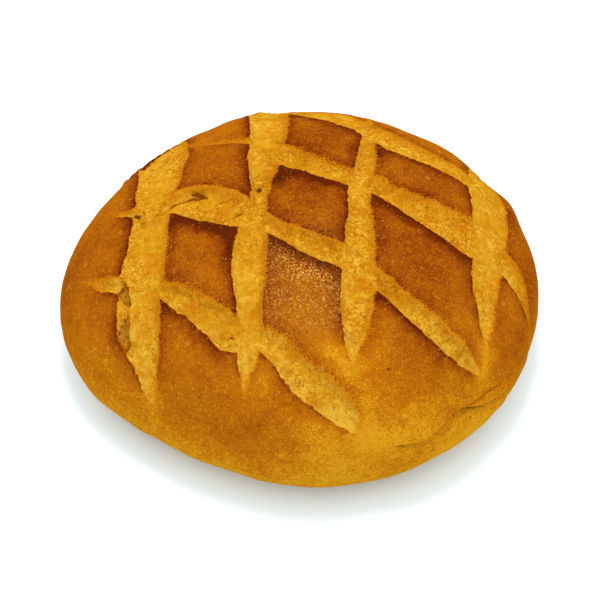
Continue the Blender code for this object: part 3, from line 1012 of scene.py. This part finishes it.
# The crumb's edge: millimetres that patterns sway it by, the last two where it is soft.
EDGE_MOTTLE = 1.8
EDGE_GRAIN = 9.0
EDGE_PATCHY = 4.0
# Where the crumb starts and where it is whole, in millimetres from a band's edge: what
# softness adds, and the place at a sharp edge.
CRUMB_STARTS = (1.5, 0.3)
CRUMB_ENDS = (-2.2, -0.4)
# How far the patchy pattern breaks up the flakes.
FLAKE_PATCHY = 2.4

# How far patterns sway how baked the crust is: a swing, or a slope and an offset.
BAKED_BROAD = (0.26, -0.11)
BAKED_PATCHY = 0.24
BAKED_MOTTLE = 0.46
BAKED_GRAIN = 0.80
# Painted highlight on the glossy diamond: the ridges make it paler on the wrinkles' crests and
# darker between them.
PAINTED_GLITTER = (-0.30, 0.13)
# The sparks make the crust paler: partly paler blisters, partly painted glints.
BAKED_SPARKS = -0.20
BAKED_LESS = -0.045

# How strongly spots and marks show: the specks and sparks partly as painted glints, the pores,
# stretch marks and crevices as painted shade.
SPECK_STRENGTH = 0.75
SPARK_STRENGTH = 0.32
PALE_SPOT_STRENGTH = 0.36
PORE_STRENGTH = 0.6
STRETCH_STRENGTH = 0.35
CREVICE_STRENGTH = 0.85
# The most that a toasted place counts in the crumb.
CRUMB_TOAST_MOST = 0.08
BUMP_DEPTH = 0.0004
COAT = 0.03
COAT_ROUGHNESS = 0.24


def patterns(make):
    """What the finish is made of: the mesh's stored marks, and patterns over the loaf."""
    place = make.node("ShaderNodeTexCoord").outputs["Object"]
    return SimpleNamespace(
        place=place,
        gap=make.value_of("gap_mm"),
        burn=make.value_of("burn"),
        soft=make.value_of("soft"),
        lean=make.value_of("lean"),
        thin=make.value_of("thin"),
        height=make.value_of("height"),
        toast=make.value_of("toast"),
        gloss=make.value_of("gloss"),
        painted_highlight=make.value_of("painted_highlight"),
        flake=make.value_of("flake"),
        tear=make.value_of("tear_mm"),
        hollow=make.value_of("hollow_mm"),
        broad=make.noise(place, *BROAD),
        patchy=make.noise(place, *PATCHY),
        mottle=make.noise(place, *MOTTLE),
        grain=make.noise(place, *GRAIN),
        wrinkle=make.noise(place, *WRINKLE),
        ridges=make.span(make.from_middle(make.noise(place, *RIDGES)), *RIDGE_CRESTS),
        specks=make.spots(place, *SPECKS),
        pale_spots=make.spots(place, *PALE_SPOTS),
        sparks=make.spots(place, *SPARKS),
        pores=make.spots(place, *PORES),
    )


def crumb_share(make, look):
    """Where the crumb shows, 0 to 1: sharp at the lips, a long fade on the slopes, less in
    the bands' thin tips and none under a flake."""
    edge = make.total(
        look.gap,
        make.swing(look.mottle, EDGE_MOTTLE),
        make.swing(look.grain, make.product(look.soft, EDGE_GRAIN)),
        make.swing(look.patchy, make.product(look.soft, EDGE_PATCHY)),
    )
    crumb = make.span(edge, make.line(look.soft, *CRUMB_STARTS), make.line(look.soft, *CRUMB_ENDS))
    fading = make.product(look.thin, make.span(look.patchy, 0.40, 0.60, 1.0, 0.40))
    flake = make.total(look.flake, make.swing(look.patchy, FLAKE_PATCHY))
    return make.product(crumb, make.math("SUBTRACT", 1.0, fading),
                        make.span(flake, 0.30, 0.75, 1.0, 0.0))


def rim_bake(make, look):
    """How much more baked the crust is beside a band."""
    rim = make.product(
        make.span(look.gap, 1.8, 0.2),
        make.span(look.patchy, 0.38, 0.60, 0.04, 0.22),
        make.line(look.soft, -0.8, 1.0),
    )
    rim = make.total(rim, make.span(look.gap, 8.0, 0.5, 0.0, 0.185))
    return make.product(rim, make.line(look.thin, -1.1, 1.0))


def crust_colour(make, look, crumb):
    """The crust, golden low on the side, chestnut on top and burnt at the lips, with painted
    highlights on the glossy diamond.
    """
    charred = make.product(look.burn, look.burn, make.span(look.patchy, 0.34, 0.62, 0.50, 0.85))
    baked = make.total(
        # Less baked low on the side and more on top; the low side's paleness is partly painted
        # light.
        make.span(look.height, 0.03, 0.50, 0.06, 0.40),
        make.span(look.height, 0.78, 0.97, 0.0, 0.03),
        look.toast,
        charred,
        rim_bake(make, look),
        BAKED_LESS,
        make.line(look.broad, *BAKED_BROAD),
        make.swing(look.patchy, BAKED_PATCHY),
        make.swing(look.mottle, BAKED_MOTTLE),
        make.swing(look.grain, BAKED_GRAIN),
        # Painted highlight: paler on the glossy diamond's wrinkle crests, darker between them.
        make.product(make.line(look.ridges, *PAINTED_GLITTER), look.gloss),
    )
    baked = make.math("ADD", baked, make.product(look.sparks, BAKED_SPARKS), clamp=True)
    baked = make.product(baked, make.span(crumb, 0.0, 0.8, 1.0, 0.2))
    crust = make.ramp(baked, CRUST_COLOURS)

    scorch = make.product(
        look.burn,
        make.line(look.burn, -0.8, 1.15),
        make.span(look.patchy, 0.34, 0.62, 0.55, 1.0),
        make.span(crumb, 0.0, 0.5, 1.0, 0.0),
    )
    crust = make.mix(scorch, crust, SCORCHED)
    # Painted highlights: glint colour on the glossy diamond's wrinkles, strongest at the highlight
    # spots.
    painted_shine = make.line(look.painted_highlight, 0.90, make.product(look.gloss, 0.46))
    painted_glints = make.product(
        look.ridges,
        make.span(look.patchy, 0.36, 0.62, 0.4, 1.0),
        make.span(look.burn, 0.30, 0.75, 1.0, 0.15),
        painted_shine,
    )
    crust = make.mix(painted_glints, crust, PAINTED_GLINT)
    # Pale specks and sparks: partly blisters, partly painted glints.
    dots = make.most(make.product(look.specks, SPECK_STRENGTH),
                     make.product(look.sparks, SPARK_STRENGTH))
    crust = make.mix(dots, crust, SPECK)
    return make.mix(make.product(look.pale_spots, PALE_SPOT_STRENGTH), crust, SPECK)


def dough_colour(make, look, crumb):
    """The crumb: paler by the lips, with pores and flecks, toasted where it meets the slopes; its
    pores and fine cracks darkened with painted shade.
    """
    crumbs = make.math("SUBTRACT", make.noise(look.place, *DOUGH_CRUMBS), 0.5)
    crumbly = make.span(make.noise(look.place, *DOUGH_CRUMBLY), 0.36, 0.62, 0.25, 0.90)
    flecks = make.total(
        make.line(make.noise(look.place, *DOUGH_CLOUDS), 0.24, -0.11),
        make.product(make.noise(look.place, *DOUGH_FLECKS), 0.34),
        make.total(make.product(crumbs, crumbly), 0.30),
        make.product(look.lean, -0.035),
        make.product(make.math("MINIMUM", look.toast, CRUMB_TOAST_MOST), -0.42),
        make.span(crumb, 1.0, 0.40, 0.03, -0.12),
    )
    # The crumb's mottling, partly painted shade in pits and painted highlight on crests.
    dough = make.ramp(flecks, CRUMB_COLOURS)
    streaks = make.total(look.lean, make.swing(look.patchy, 1.6))
    stains = make.most(
        make.span(make.noise(look.place, *DOUGH_STAINS), 0.52, 0.66, 0.0, 0.50),
        make.span(streaks, 0.45, 1.0, 0.0, 0.50),
        make.span(crumb, 0.9, 0.3, 0.0, 0.7),
    )
    dough = make.mix(stains, dough, CRUMB_DEEP)
    # Painted shade in the crumb's fine cracks, and with it in its pores.
    veins = make.product(
        make.span(make.from_middle(make.noise(look.place, *DOUGH_VEINS)), 0.016, 0.002),
        make.span(look.broad, 0.44, 0.58, 0.0, 0.6),
    )
    pitted = make.most(veins, make.product(look.pores, PORE_STRENGTH))
    return make.mix(make.product(pitted, make.span(crumb, 0.6, 1.0)), dough, PORE_SHADE)


def with_painted_shade(make, look, colour):
    """The colour darkened with painted shade in the hollows, crevices, stretch marks, pits and
    creases.
    """
    strays = make.swing(look.mottle, 1.2)
    hollow = make.total(look.hollow, strays)
    shaded = make.product(make.span(hollow, 0.25, -0.25),
                          make.span(look.mottle, 0.38, 0.60, 0.95, 0.45))
    colour = make.mix(shaded, colour, HOLLOW_SHADE)

    edges = make.product(make.span(make.math("ABSOLUTE", hollow), 0.70, 0.15),
                         make.span(look.patchy, 0.44, 0.53))
    torn = make.span(make.total(look.tear, strays), 0.20, -0.30)
    stretched = make.product(make.value_of("stretch"), STRETCH_STRENGTH)
    crevices = make.most(edges, torn, stretched)
    colour = make.mix(make.product(crevices, CREVICE_STRENGTH), colour, CREVICE_SHADE)

    # Painted shade in the pits and along the folds' creases.
    pitted = make.total(make.value_of("pit"), make.swing(look.mottle, 1.6))
    dark = make.span(pitted, 0.25, 0.75, 0.0, 0.92)
    for number in range(1, len(FOLDS) + 1):
        away = make.total(
            make.math("ABSOLUTE", make.value_of("crease_%d_mm" % number)),
            make.swing(look.mottle, 0.6),
            make.value_of("crease_%d_end" % number),
        )
        dark = make.most(dark, make.span(away, 1.25, 0.25, 0.0, 0.90))
    return make.mix(dark, colour, CREASE_SHADE)


def fine_relief(make, look, crumb, glossy):
    """Bumps finer than the mesh: coarse on the crumb, wrinkled on the glossy diamond."""
    level = make.total(
        make.product(look.mottle, make.span(crumb, 0.0, 1.0, 0.35, 0.85)),
        make.product(look.grain, make.span(crumb, 0.0, 1.0, 0.20, 0.36)),
        make.product(look.ridges, make.product(glossy, 0.5)),
        make.product(look.wrinkle, make.product(glossy, 1.4)),
        make.product(look.specks, 0.25),
        make.product(look.pores, make.product(crumb, -0.5)),
    )
    bump = make.node("ShaderNodeBump")
    bump.inputs["Strength"].default_value = 1.0
    bump.inputs["Distance"].default_value = BUMP_DEPTH
    make.plug(bump.inputs["Height"], level)
    return bump.outputs["Normal"]


def loaf_finish():
    """One finish for the whole loaf: crust, crumb and every mark on them."""
    finish = bpy.data.materials.new("baked_sourdough")
    finish.use_nodes = True
    shader = finish.node_tree.nodes["Principled BSDF"]
    make = Maker(finish.node_tree)
    look = patterns(make)
    crumb = crumb_share(make, look)
    colour = make.mix(crumb, crust_colour(make, look, crumb), dough_colour(make, look, crumb))
    make.plug(shader.inputs["Base Color"], with_painted_shade(make, look, colour))

    glossy = make.product(look.gloss, make.math("SUBTRACT", 1.0, crumb))
    rough = make.line(glossy, -0.20, make.span(crumb, 0.0, 1.0, 0.55, 0.80))
    make.plug(shader.inputs["Roughness"], make.total(rough, make.swing(look.grain, 0.16)))
    shader.inputs["Specular IOR Level"].default_value = 0.0
    make.plug(shader.inputs["Coat Weight"], make.product(glossy, COAT))
    shader.inputs["Coat Roughness"].default_value = COAT_ROUGHNESS
    normal = fine_relief(make, look, crumb, glossy)
    make.plug(shader.inputs["Normal"], normal)
    make.plug(shader.inputs["Coat Normal"], normal)
    return finish


# The stage: the photo's camera, one soft light in a pale room, and a pale floor.
CAMERA_HEIGHT_ANGLE = math.radians(47)
CAMERA_DISTANCE = 0.800
CAMERA_LENS = 97.456
SENSOR_WIDTH = 36.0
AIM_RIGHT = -0.00186 + CENTRING[0]
AIM_UP = 0.01479
ROOM_LIGHT = 1.42
SOFTBOX_AT = (-0.02, 0.10, 0.90)
SOFTBOX_AIM = (0, 0, 0.04)
SOFTBOX_SIZE = 0.24
SOFTBOX_POWER = 2.8
FLOOR_SIZE = 3.0
FLOOR_COLOUR = (0.79, 0.93, 1.0, 1.0)
FLOOR_ROUGHNESS = 0.8


def place_camera():
    data = bpy.data.cameras.new("photo_camera")
    data.lens = CAMERA_LENS
    data.sensor_width = SENSOR_WIDTH
    camera = bpy.data.objects.new("photo_camera", data)
    bpy.context.scene.collection.objects.link(camera)
    back = Vector((0, -math.cos(CAMERA_HEIGHT_ANGLE), math.sin(CAMERA_HEIGHT_ANGLE)))
    up = Vector((0, math.sin(CAMERA_HEIGHT_ANGLE), math.cos(CAMERA_HEIGHT_ANGLE)))
    aim = Vector((AIM_RIGHT, CENTRING[1], 0)) + up * AIM_UP
    camera.location = aim + back * CAMERA_DISTANCE
    camera.rotation_euler = (math.pi / 2 - CAMERA_HEIGHT_ANGLE, 0, 0)
    bpy.context.scene.camera = camera


def hang_softbox():
    data = bpy.data.lights.new("overhead_softbox", "AREA")
    data.shape = "DISK"
    data.size = SOFTBOX_SIZE
    data.energy = SOFTBOX_POWER
    light = bpy.data.objects.new("overhead_softbox", data)
    light.location = SOFTBOX_AT
    towards = Vector(SOFTBOX_AIM) - Vector(SOFTBOX_AT)
    light.rotation_euler = towards.to_track_quat("-Z", "Y").to_euler()
    bpy.context.scene.collection.objects.link(light)


def light_stage():
    world = bpy.data.worlds.new("pale_room")
    world.use_nodes = True
    background = world.node_tree.nodes["Background"]
    background.inputs["Color"].default_value = (1.0, 1.0, 1.0, 1.0)
    background.inputs["Strength"].default_value = ROOM_LIGHT
    bpy.context.scene.world = world
    hang_softbox()
    bpy.context.scene.view_settings.view_transform = "Standard"


def lay_floor():
    mesh = bpy.data.meshes.new("pale_floor")
    half = FLOOR_SIZE / 2
    mesh.from_pydata([(-half, -half, 0), (half, -half, 0), (half, half, 0), (-half, half, 0)],
                     [], [(0, 1, 2, 3)])
    floor = bpy.data.objects.new("pale_floor", mesh)
    bpy.context.scene.collection.objects.link(floor)
    finish = bpy.data.materials.new("pale_floor")
    finish.use_nodes = True
    shader = finish.node_tree.nodes["Principled BSDF"]
    shader.inputs["Base Color"].default_value = FLOOR_COLOUR
    shader.inputs["Roughness"].default_value = FLOOR_ROUGHNESS
    floor.data.materials.append(finish)


loaf = bake_loaf()
loaf.data.materials.append(loaf_finish())
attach(loaf, "root")
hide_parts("loaf")
place_camera()
light_stage()
lay_floor()
